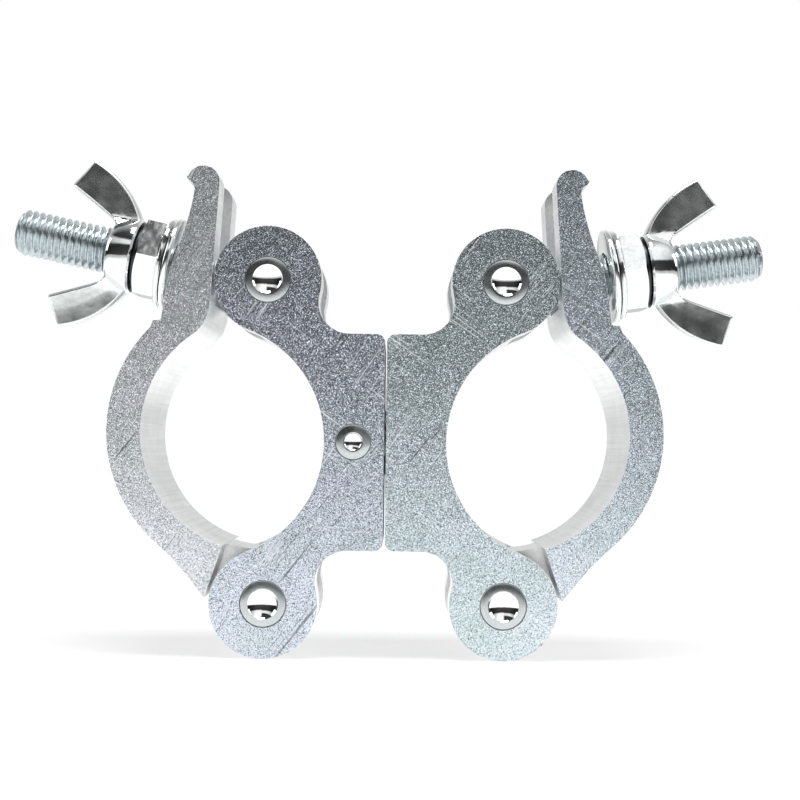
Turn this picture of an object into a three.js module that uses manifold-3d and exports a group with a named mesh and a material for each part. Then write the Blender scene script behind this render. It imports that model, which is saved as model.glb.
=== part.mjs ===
// Swivel pipe clamp: two slim aluminium half-couplers turning back to back on one stud.
// Millimetres, +Z up. X runs along the swivel axis, Y along the clamped tubes at rest.
// The origin is at the middle of the bottom of the whole clamp's box.
//
// Outlines are drawn in a half-coupler's own plane: u is the distance out from the plane
// between the two halves, v the height above the swivel axis.

import * as THREE from 'three';
import { mergeVertices } from 'three/addons/utils/BufferGeometryUtils.js';
import Module from 'manifold-3d';

const manifold = await Module();
manifold.setup();

// ---- driving dimensions ----

const TUBE_RADIUS = 24.5; // seats of saddle and jaw
const WIDTH = 30; // length of the sawn extrusions, along the tube
const FACE_Y = WIDTH / 2;

const PIN_U = 24.7; // both hinge pins
const PIN_V = 33.45;
const KNUCKLE_RADIUS = 11.2;
const SWIVEL_HEIGHT = PIN_V + KNUCKLE_RADIUS; // the clamp stands on its lower knuckles

const BACK_U = 0.2; // half the gap between the two saddles' backs
const BACK_HALF_HEIGHT = 22.4;
const BACK_CORNER = 1.8;
const BACK_FILLET = 6.5;
// the tube seat is tangent to both knuckles
const SEAT_U = PIN_U + Math.sqrt((TUBE_RADIUS + KNUCKLE_RADIUS) ** 2 - PIN_V ** 2);

const SLOT_WIDTH = 14.2; // clevis and fork slots
const SLOT_FLOOR_V = 22.2; // of the two clevis slots
const TONGUE_WIDTH = 13.4; // jaw tongue and bolt eye
const TONGUE_RADIUS = 10.3;

const PIN_RADIUS = 4.0;
const PIN_END_RADIUS = 4.75; // spread ends, flush in their countersinks
const PIN_TAPER = 1.3;
const PIN_PROUD = 0.2;
const PIN_DIMPLE_RADIUS = 3.1;
const PIN_DIMPLE_DEPTH = 1.0;
const GAP = 0.3; // running clearance on radius

const THREAD_RADIUS = 5.0; // M10 swing bolt
const BOLT_LENGTH = 56.8; // from the pivot to the tip
const EYE_RADIUS = 9.6;
const LEFT_BOLT_RISE = 12; // degrees above level
const RIGHT_BOLT_RISE = 8;
const RIGHT_NUT_SLACK = 1.4; // the right nut is backed off by this much more than the left

const STUD_RADIUS = 7.0; // swivel stud
const STUD_HEAD_RADIUS = 10.4;
const CROSS_PIN_RADIUS = 2.7;
const CROSS_PIN_END_RADIUS = 3.65;
const CROSS_PIN_U = 6.6;

const ROUND = 28; // sides of a hole or a turned piece

// ---- materials ----

const metal = (color, roughness) => new THREE.MeshStandardMaterial({ color, roughness, metalness: 1 });
const blastedAluminium = metal(0xaeb3b5, 0.55);
const brightZinc = metal(0xd6dadc, 0.18);
const threadZinc = metal(0xbcc4c8, 0.35);
const pinSteel = metal(0xc4c8ca, 0.22);
const bronze = metal(0xb08d57, 0.45);

// ---- outlines ----

const rad = THREE.MathUtils.degToRad;
const point = (u, v) => new THREE.Vector2(u, v);
const polar = (centre, radius, angle) =>
  point(centre.x + radius * Math.cos(angle), centre.y + radius * Math.sin(angle));
const heading = (from, to) => Math.atan2(to.y - from.y, to.x - from.x);

// points of an arc from one angle to another, both ends included
function arc(centre, radius, from, to, stepDegrees = 8) {
  const steps = Math.max(2, Math.ceil(Math.abs(to - from) / rad(stepDegrees)));
  return Array.from({ length: steps + 1 }, (_, i) => polar(centre, radius, from + ((to - from) * i) / steps));
}

function bend(start, control, end, steps = 5) {
  return new THREE.QuadraticBezierCurve(start, control, end).getPoints(steps);
}

const rectangle = (u0, v0, u1, v1) => [point(u0, v0), point(u1, v0), point(u1, v1), point(u0, v1)];

// drops points that repeat the one before, such as where two arcs meet
function clean(points) {
  return points.filter((p, i) => p.distanceTo(points[(i + points.length - 1) % points.length]) > 1e-3);
}

// ---- solids ----

// an outline in the u-v plane as a slab along Y, between two depths
function slab(points, y0, y1) {
  const geometry = new THREE.ExtrudeGeometry(new THREE.Shape(clean(points)), {
    depth: y1 - y0,
    bevelEnabled: false,
  });
  return geometry.rotateX(Math.PI / 2).translate(0, y1, 0);
}

const centredSlab = (points, width) => slab(points, -width / 2, width / 2);

// a turned piece; the profile is (radius, station) pairs and the axis is X or Y
function turned(profile, axis, sides = ROUND) {
  const points = profile.map(([radius, station]) => point(radius, station));
  const geometry = new THREE.LatheGeometry(points, sides);
  return axis === 'x' ? geometry.rotateZ(-Math.PI / 2) : geometry;
}

const rod = (radius, from, to, axis, sides) =>
  turned([[0, from], [radius, from], [radius, to], [0, to]], axis, sides);

const ring = (inner, outer, from, to, axis) =>
  turned([[inner, from], [outer, from], [outer, to], [inner, to], [inner, from]], axis);

function toSolid(geometry) {
  const bare = geometry.clone();
  bare.deleteAttribute('normal');
  bare.deleteAttribute('uv');
  const merged = mergeVertices(bare, 1e-4);
  return new manifold.Manifold(
    new manifold.Mesh({
      numProp: 3,
      vertProperties: new Float32Array(merged.attributes.position.array),
      triVerts: new Uint32Array(merged.index.array),
    }),
  );
}

function toGeometry(solid) {
  const mesh = solid.getMesh();
  const geometry = new THREE.BufferGeometry();
  geometry.setAttribute('position', new THREE.BufferAttribute(mesh.vertProperties, 3));
  geometry.setIndex(new THREE.BufferAttribute(mesh.triVerts, 1));
  geometry.computeVertexNormals();
  return geometry;
}

function shaped(base, { add = [], cut = [] }) {
  let solid = toSolid(base);
  for (const geometry of add) solid = solid.add(toSolid(geometry));
  for (const geometry of cut) solid = solid.subtract(toSolid(geometry));
  return toGeometry(solid);
}

function piece(name, geometry, material) {
  const mesh = new THREE.Mesh(geometry, material);
  mesh.name = name;
  return mesh;
}

// ---- riveted pins: spread ends in countersinks, a round dimple in each end ----

function pinProfile(radius, endRadius, dimpleRadius, dimpleDepth) {
  const end = FACE_Y + PIN_PROUD;
  const dish = [[0, end - dimpleDepth], [dimpleRadius * 0.6, end - dimpleDepth * 0.72], [dimpleRadius, end]];
  const half = [...dish, [endRadius - 0.25, end], [endRadius, end - 0.3], [radius, end - 0.3 - PIN_TAPER]];
  return [...half.map(([r, y]) => [r, -y]), ...half.reverse()];
}

// the countersunk hole for such a pin, in a part as wide as the extrusions
function pinHoleProfile(radius, endRadius) {
  const past = FACE_Y + 1;
  const taperEnd = FACE_Y + PIN_PROUD - 0.3 - PIN_TAPER;
  return [
    [0, -past],
    [endRadius + GAP, -past],
    [endRadius + GAP, -FACE_Y + 0.1],
    [radius + GAP, -taperEnd],
    [radius + GAP, taperEnd],
    [endRadius + GAP, FACE_Y - 0.1],
    [endRadius + GAP, past],
    [0, past],
  ];
}

const hingePin = () =>
  turned(pinProfile(PIN_RADIUS, PIN_END_RADIUS, PIN_DIMPLE_RADIUS, PIN_DIMPLE_DEPTH), 'y');
const hingePinHole = () => turned(pinHoleProfile(PIN_RADIUS, PIN_END_RADIUS), 'y');
const eyeHole = () => rod(PIN_RADIUS + GAP + 0.05, -FACE_Y, FACE_Y, 'y');

// ---- saddle: flat back, tube seat, a slotted knuckle above and below ----

function saddleOutline() {
  const pin = point(PIN_U, PIN_V);
  const seat = point(SEAT_U, 0);
  const corner = point(BACK_U + BACK_CORNER, BACK_HALF_HEIGHT - BACK_CORNER);
  const filletV = BACK_HALF_HEIGHT + BACK_FILLET;
  const filletU = PIN_U - Math.sqrt((KNUCKLE_RADIUS + BACK_FILLET) ** 2 - (PIN_V - filletV) ** 2);
  const fillet = point(filletU, filletV);
  const toKnuckle = heading(fillet, pin);
  const toSeat = heading(pin, seat);
  const upper = [
    ...arc(corner, BACK_CORNER, Math.PI, Math.PI / 2, 30),
    ...arc(fillet, BACK_FILLET, -Math.PI / 2, toKnuckle, 15),
    ...arc(pin, KNUCKLE_RADIUS, toKnuckle + Math.PI, toSeat),
  ];
  const lower = upper.map((p) => point(p.x, -p.y)).reverse();
  return [...upper, ...arc(seat, TUBE_RADIUS, toSeat + Math.PI, Math.PI - toSeat, 6), ...lower];
}

function clevisSlot(side) {
  const outline = rectangle(7.6, SLOT_FLOOR_V, PIN_U + 20, PIN_V + 20);
  return centredSlab(outline.map((p) => point(p.x, side * p.y)), SLOT_WIDTH);
}

function saddle(extraCuts) {
  return shaped(centredSlab(saddleOutline(), WIDTH), {
    cut: [
      clevisSlot(1),
      clevisSlot(-1),
      hingePinHole().translate(PIN_U, 0, PIN_V),
      hingePinHole().translate(PIN_U, 0, -PIN_V),
      ...extraCuts,
    ],
  });
}

// ---- jaw: hinged below, forked and hooked above ----

const JAW_SEAT = point(26.0, 1.8); // centre of the jaw's tube seat at rest
const JAW_BACK = point(26.9, 1.95); // centre of its outer arc
const JAW_BACK_RADIUS = 30.6;
const JAW_SEAT_LOW = rad(-72.9); // where the seat ends at the foot
const JAW_SEAT_HIGH = rad(55.5);
const JAW_FOOT = point(36.8, -32.3); // outer corner of the foot
const FORK_FLOOR_V = 28.8;

function jawOutline() {
  const hook = point(38.35, 53.7);
  const shoulder = point(48.3, 24.7);
  return [
    ...arc(JAW_SEAT, TUBE_RADIUS, JAW_SEAT_LOW, JAW_SEAT_HIGH, 6),
    ...bend(polar(JAW_SEAT, TUBE_RADIUS, JAW_SEAT_HIGH), point(36.85, 24.05), point(36.5, 29.5)),
    ...arc(hook, 3.4, Math.PI, rad(22), 20), // rounded top of the prongs
    point(41.95, 54.7), // nose of the hook
    ...bend(point(41.5, 53.95), point(40.25, 53.5), point(40.15, 52.2), 3),
    ...bend(point(40.15, 52.2), point(41.0, 45.9), point(43.75, 39.1), 6),
    ...bend(point(43.75, 39.1), point(45.35, 34.9), point(45.9, 31.0), 4),
    point(46.6, 25.2),
    point(47.1, 24.8),
    shoulder,
    ...arc(JAW_BACK, JAW_BACK_RADIUS, rad(44), rad(-50), 6),
    ...bend(polar(JAW_BACK, JAW_BACK_RADIUS, rad(-50)), point(42.3, -25.1), JAW_FOOT),
  ];
}

// the narrow tongue between the saddle's lower lugs; it carries the seat on to the hinge
function tongueOutline() {
  const hinge = point(PIN_U, -PIN_V);
  const toSeat = heading(hinge, JAW_SEAT);
  return [
    ...arc(hinge, TONGUE_RADIUS, toSeat, rad(325), 10),
    JAW_FOOT,
    point(40, -24),
    ...arc(JAW_SEAT, TUBE_RADIUS + 0.1, JAW_SEAT_LOW + 0.04, toSeat - Math.PI, 5),
  ];
}

function jaw() {
  return shaped(centredSlab(jawOutline(), WIDTH), {
    add: [centredSlab(tongueOutline(), TONGUE_WIDTH)],
    cut: [
      centredSlab(rectangle(30, FORK_FLOOR_V, 60, 70), SLOT_WIDTH),
      eyeHole().translate(PIN_U, 0, -PIN_V),
    ],
  });
}

// ---- swing bolt, washer and wing nut, along +X from the bolt's pivot ----

const WASHER_START = 21.8;
const WASHER_THICKNESS = 1.4;
const WASHER_RADIUS = 10.2;
const NUT_START = WASHER_START + WASHER_THICKNESS + GAP;
const FLANGE_RADIUS = 9.8;
const FLANGE_LENGTH = 1.7;
const HEX_ACROSS_FLATS = 16;
const HEX_LENGTH = 5.1;
const HUB_RADIUS = 8.15;
const HUB_TIP_RADIUS = 6.3;
const HUB_LENGTH = 6.1;
const WING_THICKNESS = 4.2;
const HEX_START = NUT_START + FLANGE_LENGTH;
const HUB_START = HEX_START + HEX_LENGTH;
const HUB_END = HUB_START + HUB_LENGTH;

function swingBolt() {
  const tip = BOLT_LENGTH;
  const shank = turned([[0, 0], [THREAD_RADIUS, 0], [THREAD_RADIUS, tip - 1.2], [3.9, tip], [0, tip]], 'x');
  return shaped(rod(EYE_RADIUS, -TONGUE_WIDTH / 2, TONGUE_WIDTH / 2, 'y'), { add: [shank], cut: [eyeHole()] });
}

const washer = () =>
  ring(THREAD_RADIUS + GAP + 0.05, WASHER_RADIUS, WASHER_START, WASHER_START + WASHER_THICKNESS, 'x');

// one wing, from its root on the hub out to its square tip
function wingOutline(side) {
  const outline = [
    point(HUB_START + 0.4, 6.6),
    ...bend(point(HUB_START + 0.4, 8.4), point(HUB_START + 5.5, 15.4), point(HUB_START + 12.6, 18.7), 4),
    point(HUB_START + 14.5, 18.5),
    point(HUB_START + 17.7, 12.9),
    point(HUB_START + 17.3, 11.7),
    ...bend(point(HUB_START + 12.5, 9.3), point(HUB_START + 8, 7.8), point(HUB_END - 0.6, 5.6), 3),
  ];
  return outline.map((p) => point(p.x, side * p.y));
}

function wingNut() {
  const body = turned(
    [
      [0, NUT_START],
      [FLANGE_RADIUS, NUT_START],
      [FLANGE_RADIUS, NUT_START + 1.0],
      [HUB_RADIUS, HEX_START],
      [HUB_RADIUS - 0.4, HUB_START],
      [HUB_RADIUS, HUB_START + 0.4],
      [HUB_TIP_RADIUS, HUB_END],
      [0, HUB_END],
    ],
    'x',
  );
  const hexRadius = HEX_ACROSS_FLATS / 2 / Math.cos(Math.PI / 6);
  const hex = rod(hexRadius, NUT_START + 0.8, HUB_START - 0.2, 'x', 6);
  const bore = rod(THREAD_RADIUS + GAP + 0.05, NUT_START - 1, HUB_END + 1, 'x');
  return shaped(body, {
    add: [hex, centredSlab(wingOutline(1), WING_THICKNESS), centredSlab(wingOutline(-1), WING_THICKNESS)],
    cut: [bore],
  });
}

// ---- swivel: stud through both saddles, pinned in the left, headed in the right ----

const HEAD_SEAT_U = 5.9; // floor of the counterbore in the right saddle
const HEAD_WASHER_START = HEAD_SEAT_U + GAP;
const HEAD_WASHER_END = HEAD_WASHER_START + 1.4;
const STUD_HEAD_START = HEAD_WASHER_END + GAP;
const STUD_HEAD_END = STUD_HEAD_START + 3.9;
const THRUST_RECESS = 0.9;
const THRUST_RADIUS = 12.7;
const BUSH_WALL = 1.0;
const STUD_END_U = 11.8;

function swivelStud() {
  const profile = [
    [0, -STUD_END_U],
    [STUD_RADIUS - 0.8, -STUD_END_U],
    [STUD_RADIUS, -STUD_END_U + 0.8],
    [STUD_RADIUS, STUD_HEAD_START],
    [STUD_HEAD_RADIUS, STUD_HEAD_START],
    [STUD_HEAD_RADIUS, STUD_HEAD_END - 1],
    [STUD_HEAD_RADIUS - 1, STUD_HEAD_END],
    [0, STUD_HEAD_END],
  ];
  const crossHole = rod(CROSS_PIN_RADIUS + GAP, -FACE_Y, FACE_Y, 'y').translate(-CROSS_PIN_U, 0, 0);
  return shaped(turned(profile, 'x'), { cut: [crossHole] });
}

const headWasher = () => ring(STUD_RADIUS + GAP, STUD_HEAD_RADIUS, HEAD_WASHER_START, HEAD_WASHER_END, 'x');
const bush = () =>
  ring(STUD_RADIUS + GAP, STUD_RADIUS + GAP + BUSH_WALL, BACK_U + THRUST_RECESS + GAP, HEAD_SEAT_U, 'x');
const thrustWasher = () => ring(STUD_RADIUS + GAP, THRUST_RADIUS, 0.1, BACK_U + THRUST_RECESS - GAP, 'x');
const crossPin = () => turned(pinProfile(CROSS_PIN_RADIUS, CROSS_PIN_END_RADIUS, 2.05, 0.8), 'y');

function leftSaddleCuts() {
  const toolCrossPin = turned(pinHoleProfile(CROSS_PIN_RADIUS, CROSS_PIN_END_RADIUS), 'y');
  return [rod(STUD_RADIUS + GAP, -1, 20, 'x'), toolCrossPin.translate(CROSS_PIN_U, 0, 0)];
}

const rightSaddleCuts = () => [
  rod(STUD_RADIUS + 2 * GAP + BUSH_WALL, -1, 20, 'x'),
  rod(THRUST_RADIUS + GAP, -1, BACK_U + THRUST_RECESS, 'x'),
  rod(STUD_HEAD_RADIUS + GAP, HEAD_SEAT_U, 20, 'x'),
];

// ---- assembly ----

// one half-coupler; turn is 0 for the right half and half a turn about Z for the left
function half(prefix, turn, extraCuts, boltRise, nutSlack) {
  const group = new THREE.Group();
  group.rotation.z = turn;
  const pins = [
    piece(`${prefix}_bolt_pivot_pin`, hingePin().translate(PIN_U, 0, PIN_V), pinSteel),
    piece(`${prefix}_jaw_hinge_pin`, hingePin().translate(PIN_U, 0, -PIN_V), pinSteel),
  ];
  const bolt = new THREE.Group();
  bolt.position.set(PIN_U, 0, PIN_V);
  bolt.rotation.y = -rad(boltRise);
  bolt.add(
    piece(`${prefix}_swing_bolt`, swingBolt(), threadZinc),
    piece(`${prefix}_washer`, washer().translate(nutSlack, 0, 0), brightZinc),
    piece(`${prefix}_wing_nut`, wingNut().translate(nutSlack, 0, 0), brightZinc),
  );
  group.add(
    piece(`${prefix}_saddle`, saddle(extraCuts), blastedAluminium),
    piece(`${prefix}_jaw`, jaw(), blastedAluminium),
    ...pins,
    bolt,
  );
  return group;
}

const clamp = new THREE.Group();
clamp.add(
  half('left', Math.PI, leftSaddleCuts(), LEFT_BOLT_RISE, 0),
  half('right', 0, rightSaddleCuts(), RIGHT_BOLT_RISE, RIGHT_NUT_SLACK),
  piece('swivel_stud', swivelStud(), pinSteel),
  piece('stud_cross_pin', crossPin().translate(-CROSS_PIN_U, 0, 0), pinSteel),
  piece('swivel_bush', bush(), bronze),
  piece('swivel_thrust_washer', thrustWasher(), bronze),
  piece('swivel_head_washer', headWasher(), brightZinc),
);

// the two bolts lean differently, so the middle of the box is worked out
clamp.position.z = SWIVEL_HEIGHT;
clamp.updateMatrixWorld(true);
const box = new THREE.Box3().setFromObject(clamp, true);
clamp.position.x -= (box.min.x + box.max.x) / 2;
clamp.position.z -= box.min.z;

export default clamp;
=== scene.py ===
"""Swivel pipe clamp: the detailed pieces, their metals, and a plain pale studio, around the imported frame.

Shapes are drawn in millimetres in a half-coupler's own plane: u is the distance out from the plane
between the two halves, v the height above the swivel axis. Each finished mesh is then moved to
where the frame's nodes are, in metres.
"""

import math

import bmesh
import bpy
from mathutils import Matrix, Vector


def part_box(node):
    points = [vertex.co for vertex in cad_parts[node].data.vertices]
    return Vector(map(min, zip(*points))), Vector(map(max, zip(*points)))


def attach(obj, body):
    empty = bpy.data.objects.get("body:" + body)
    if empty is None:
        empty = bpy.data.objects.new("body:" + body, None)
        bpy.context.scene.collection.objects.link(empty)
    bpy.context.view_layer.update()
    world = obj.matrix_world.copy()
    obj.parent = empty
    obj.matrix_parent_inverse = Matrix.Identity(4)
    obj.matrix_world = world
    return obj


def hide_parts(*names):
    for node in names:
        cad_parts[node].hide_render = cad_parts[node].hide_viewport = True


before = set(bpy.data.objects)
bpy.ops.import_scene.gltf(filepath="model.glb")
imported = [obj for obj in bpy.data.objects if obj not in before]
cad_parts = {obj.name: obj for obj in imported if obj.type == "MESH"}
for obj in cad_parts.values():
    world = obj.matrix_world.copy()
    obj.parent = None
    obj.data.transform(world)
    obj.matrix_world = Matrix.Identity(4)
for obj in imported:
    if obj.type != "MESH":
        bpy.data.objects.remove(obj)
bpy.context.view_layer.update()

MM = 0.001

# ---- driving dimensions, in millimetres ----

TUBE_RADIUS = 24.5
FACE_Y = 15.0
SLOT_WIDTH = 14.2
TONGUE_WIDTH = 13.4
BACK_U = 0.2
BACK_HALF_HEIGHT = 22.4
BACK_CORNER = 1.8
BACK_FILLET = 6.5
SLOT_FLOOR_V = 22.2
TONGUE_RADIUS = 10.3

PIN_RADIUS = 4.0
PIN_END_RADIUS = 4.75
PIN_DIMPLE_RADIUS = 3.15
PIN_PROUD = 0.18
CROSS_PIN_RADIUS = 2.7
CROSS_PIN_END_RADIUS = 3.65
CROSS_PIN_DIMPLE_RADIUS = 2.0
PIN_DIMPLE_DEPTH = 1.35
CROSS_PIN_DIMPLE_DEPTH = 0.95
PIN_SHARP = 14  # degrees between faces that still shade as one

THREAD_RADIUS = 5.0
THREAD_PITCH = 1.5
THREAD_DEPTH = 0.92
EYE_RADIUS = 9.6
BOLT_LENGTH = 56.75
SHANK_RADIUS = 4.6
PLAIN_END = 17.0

STUD_RADIUS = 7.0
STUD_HEAD_RADIUS = 10.4
THRUST_RADIUS = 12.7

# ---- places, from the frame ----


def centre_of(node):
    low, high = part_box(node)
    return (low + high) / 2 / MM


SWIVEL = centre_of("swivel_stud")
CONTACT_X = (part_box("left_saddle")[1].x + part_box("right_saddle")[0].x) / 2 / MM
SIDES = {"left": -1, "right": 1}


def plane_place(node, side):
    """(u, v) of a node's centre in the plane of its half-coupler."""
    centre = centre_of(node)
    return Vector(((centre.x - CONTACT_X) * SIDES[side], centre.z - SWIVEL.z))


PIVOT = plane_place("right_bolt_pivot_pin", "right")
HINGE = plane_place("right_jaw_hinge_pin", "right")
KNUCKLE_RADIUS = HINGE.y + SWIVEL.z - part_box("right_saddle")[0].z / MM
SEAT = Vector((PIVOT.x + math.sqrt((TUBE_RADIUS + KNUCKLE_RADIUS) ** 2 - PIVOT.y**2), 0))


def half_matrix(side):
    """From a half-coupler's (u, depth, v) to the row frame, still in millimetres."""
    turn = Matrix.Rotation(math.pi if side == "left" else 0, 4, "Z")
    return Matrix.Translation((CONTACT_X, 0, SWIVEL.z)) @ turn


def bolt_matrix(side):
    """From the bolt's own frame, pivot at the origin and shank along +X, to the row frame."""
    pivot = centre_of(f"{side}_bolt_pivot_pin")
    along = (centre_of(f"{side}_washer") - pivot).normalized()
    across = Vector((0, SIDES[side], 0))
    up = along.cross(across)
    turn = Matrix((along, across, up)).transposed().to_4x4()
    return Matrix.Translation(pivot) @ turn


def bolt_station(side):
    """How far along the bolt the washer's middle sits."""
    return (centre_of(f"{side}_washer") - centre_of(f"{side}_bolt_pivot_pin")).length


# ---- outlines ----


def polar(centre, radius, degrees):
    angle = math.radians(degrees)
    return Vector((centre[0] + radius * math.cos(angle), centre[1] + radius * math.sin(angle)))


def heading(start, end):
    return math.degrees(math.atan2(end[1] - start[1], end[0] - start[0]))


def arc(centre, radius, start, end, step=3.0):
    count = max(2, math.ceil(abs(end - start) / step))
    return [polar(centre, radius, start + (end - start) * i / count) for i in range(count + 1)]


def bend(start, control, end, steps=10):
    points = []
    for i in range(steps + 1):
        t = i / steps
        points.append(
            (1 - t) ** 2 * Vector(start) + 2 * t * (1 - t) * Vector(control) + t * t * Vector(end)
        )
    return points


def distinct(points, least=0.05):
    kept = []
    for p in map(Vector, points):
        if not kept or (p - kept[-1]).length > least:
            kept.append(p)
    if (kept[0] - kept[-1]).length <= least:
        kept.pop()
    return kept


def rectangle(u0, v0, u1, v1):
    return [(u0, v0), (u1, v0), (u1, v1), (u0, v1)]


# ---- meshes, in millimetres ----


def temporary(bm, name="shape"):
    mesh = bpy.data.meshes.new(name)
    bmesh.ops.recalc_face_normals(bm, faces=bm.faces)
    bm.to_mesh(mesh)
    bm.free()
    made = bpy.data.objects.new(name, mesh)
    bpy.context.scene.collection.objects.link(made)
    return made


def slab(points, y0, y1):
    """An outline in the u-v plane as a plate between two depths."""
    bm = bmesh.new()
    near = [bm.verts.new((p[0], y0, p[1])) for p in distinct(points)]
    far = [bm.verts.new((v.co.x, y1, v.co.z)) for v in near]
    bm.faces.new(near)
    bm.faces.new(reversed(far))
    for i, v in enumerate(near):
        j = (i + 1) % len(near)
        bm.faces.new((v, far[i], far[j], near[j]))
    return temporary(bm)


def centred(points, width):
    return slab(points, -width / 2, width / 2)


def turned(profile, axis, sides=72, turn=0.0):
    """A turned piece. The profile is (radius, station) pairs; it starts and ends on the axis, or closes."""
    bm = bmesh.new()

    def ring(radius, station):
        if radius < 1e-6:
            return [bm.verts.new((station, 0, 0) if axis == "x" else (0, station, 0))]
        out = []
        for i in range(sides):
            a = 2 * math.pi * i / sides + turn
            c, s = radius * math.cos(a), radius * math.sin(a)
            out.append(bm.verts.new((station, c, s) if axis == "x" else (c, station, s)))
        return out

    rings = [ring(r, s) for r, s in profile]
    pairs = list(zip(rings, rings[1:]))
    if profile[0][0] > 1e-6:
        pairs.append((rings[-1], rings[0]))
    for a, b in pairs:
        for i in range(sides):
            j = (i + 1) % sides
            corners = [a[i % len(a)], b[i % len(b)], b[j % len(b)], a[j % len(a)]]
            bm.faces.new(list(dict.fromkeys(corners)))
    return temporary(bm)


def rod(radius, start, end, axis, sides=72, turn=0.0):
    return turned([(0, start), (radius, start), (radius, end), (0, end)], axis, sides, turn)


def shift(made, x=0.0, y=0.0, z=0.0):
    made.data.transform(Matrix.Translation((x, y, z)))
    return made


def applied(made):
    """Replaces the mesh by what its modifiers make of it."""
    graph = bpy.context.evaluated_depsgraph_get()
    mesh = bpy.data.meshes.new_from_object(
        made.evaluated_get(graph), preserve_all_data_layers=True, depsgraph=graph
    )
    made.modifiers.clear()
    old, made.data = made.data, mesh
    bpy.data.meshes.remove(old)
    return made


def combine(base, operation, *others):
    for other in others:
        step = base.modifiers.new("combine", "BOOLEAN")
        step.operation, step.solver, step.object = operation, "EXACT", other
        bpy.context.view_layer.update()
        applied(base)
        bpy.data.objects.remove(other)
    return base


def join(base, *others):
    return combine(base, "UNION", *others)


def cut(base, *others):
    return combine(base, "DIFFERENCE", *others)


def common(base, *others):
    return combine(base, "INTERSECT", *others)


def soften(made, width, segments=3, angle=28.0, edge_slot=-1):
    """Rounds the sharp edges and leaves the flats flat."""
    bm = bmesh.new()
    bm.from_mesh(made.data)
    bmesh.ops.remove_doubles(bm, verts=bm.verts, dist=0.02)
    bmesh.ops.dissolve_degenerate(bm, edges=bm.edges, dist=0.01)
    for face in bm.faces:
        face.smooth = True
    bm.to_mesh(made.data)
    bm.free()
    while len(made.data.materials) <= edge_slot:
        made.data.materials.append(None)
    rounding = made.modifiers.new("rounding", "BEVEL")
    rounding.limit_method = "ANGLE"
    rounding.angle_limit = math.radians(angle)
    rounding.width, rounding.segments = width, segments
    rounding.miter_outer = "MITER_ARC"
    rounding.use_clamp_overlap = True
    rounding.material = edge_slot
    weigh = made.modifiers.new("weigh", "WEIGHTED_NORMAL")
    weigh.keep_sharp = True
    weigh.weight = 100
    bpy.context.view_layer.update()
    return applied(made)


def smooth(made, sharp=35.0):
    made.data.shade_smooth()
    made.data.set_sharp_from_angle(angle=math.radians(sharp))
    return made


def finish_piece(made, name, body, nodes, materials, place):
    """Moves a finished mesh to its place, in metres, and ties it to the frame."""
    made.data.transform(Matrix.Scale(MM, 4) @ place)
    made.name = made.data.name = name
    for i, material in enumerate(materials):
        if i < len(made.data.materials):
            made.data.materials[i] = material
        else:
            made.data.materials.append(material)
    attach(made, body)
    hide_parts(*nodes)
    return made


# ---- materials ----


def add(tree, kind, inputs=None, **settings):
    """A node with its settings, and its inputs either linked or set."""
    made = tree.nodes.new(kind)
    for key, value in settings.items():
        setattr(made, key, value)
    for key, value in (inputs or {}).items():
        if isinstance(value, bpy.types.NodeSocket):
            tree.links.new(value, made.inputs[key])
        else:
            made.inputs[key].default_value = value
    return made


def noise(tree, where, scale, detail=2.0, roughness=0.5, stretch=(1, 1, 1), turn=(0, 0, 0), seed=(0, 0, 0)):
    turned_about = add(tree, "ShaderNodeMapping", {"Vector": where, "Rotation": turn, "Location": seed})
    moved = add(tree, "ShaderNodeMapping", {"Vector": turned_about.outputs["Vector"], "Scale": stretch})
    made = add(
        tree,
        "ShaderNodeTexNoise",
        {"Vector": moved.outputs["Vector"], "Scale": scale, "Detail": detail, "Roughness": roughness},
    )
    return made.outputs["Fac"]


def ramp(tree, value, *stops):
    made = add(tree, "ShaderNodeValToRGB", {"Fac": value})
    elements = made.color_ramp.elements
    while len(elements) < len(stops):
        elements.new(0.5)
    for element, (position, shade) in zip(elements, stops):
        element.position = position
        element.color = (*shade, 1) if isinstance(shade, tuple) else (shade, shade, shade, 1)
    return made.outputs["Color"]


def blend(tree, factor, a, b, mode="MIX"):
    made = add(tree, "ShaderNodeMix", data_type="RGBA", blend_type=mode)
    for socket, value in ((made.inputs["Factor"], factor), (made.inputs["A"], a), (made.inputs["B"], b)):
        if isinstance(value, bpy.types.NodeSocket):
            tree.links.new(value, socket)
        elif socket.type == "RGBA":
            shade = value if isinstance(value, tuple) else (value, value, value)
            socket.default_value = (*shade, 1)
        else:
            socket.default_value = value
    return made.outputs["Result"]


def bump(tree, height, strength, distance, below=None):
    inputs = {"Height": height, "Strength": strength, "Distance": distance}
    if below is not None:
        inputs["Normal"] = below
    return add(tree, "ShaderNodeBump", inputs).outputs["Normal"]


def new_metal(name):
    material = bpy.data.materials.new(name)
    material.use_nodes = True
    tree = material.node_tree
    shader = tree.nodes["Principled BSDF"]
    shader.inputs["Metallic"].default_value = 1.0
    where = add(tree, "ShaderNodeTexCoord").outputs["Object"]
    return material, tree, shader, where


FACETS_PER_METRE = 7500.0
FACET_LEAN = 0.25
DULL_TINT = (0.88, 0.91, 0.90)
BRIGHT_TINT = (1.07, 1.03, 1.09)


def scratches(tree, where, tilt, seed, fineness=3400, amount=0.665):
    """Thin straight scratches in one direction of the cut faces, in patches."""
    lines = noise(
        tree, where, 1.0, 1.0, 0.4, (fineness, 1, 34), (0, math.radians(tilt), 0), (seed, seed, seed)
    )
    patches = noise(tree, where, 90, 1.0, 0.5, seed=(seed, 0, seed))
    thin = ramp(tree, lines, (amount, 0.0), (amount + 0.05, 1.0))
    where_worn = ramp(tree, patches, (0.52, 0.0), (0.64, 1.0))
    return blend(tree, 1.0, thin, where_worn, "MULTIPLY")


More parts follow.
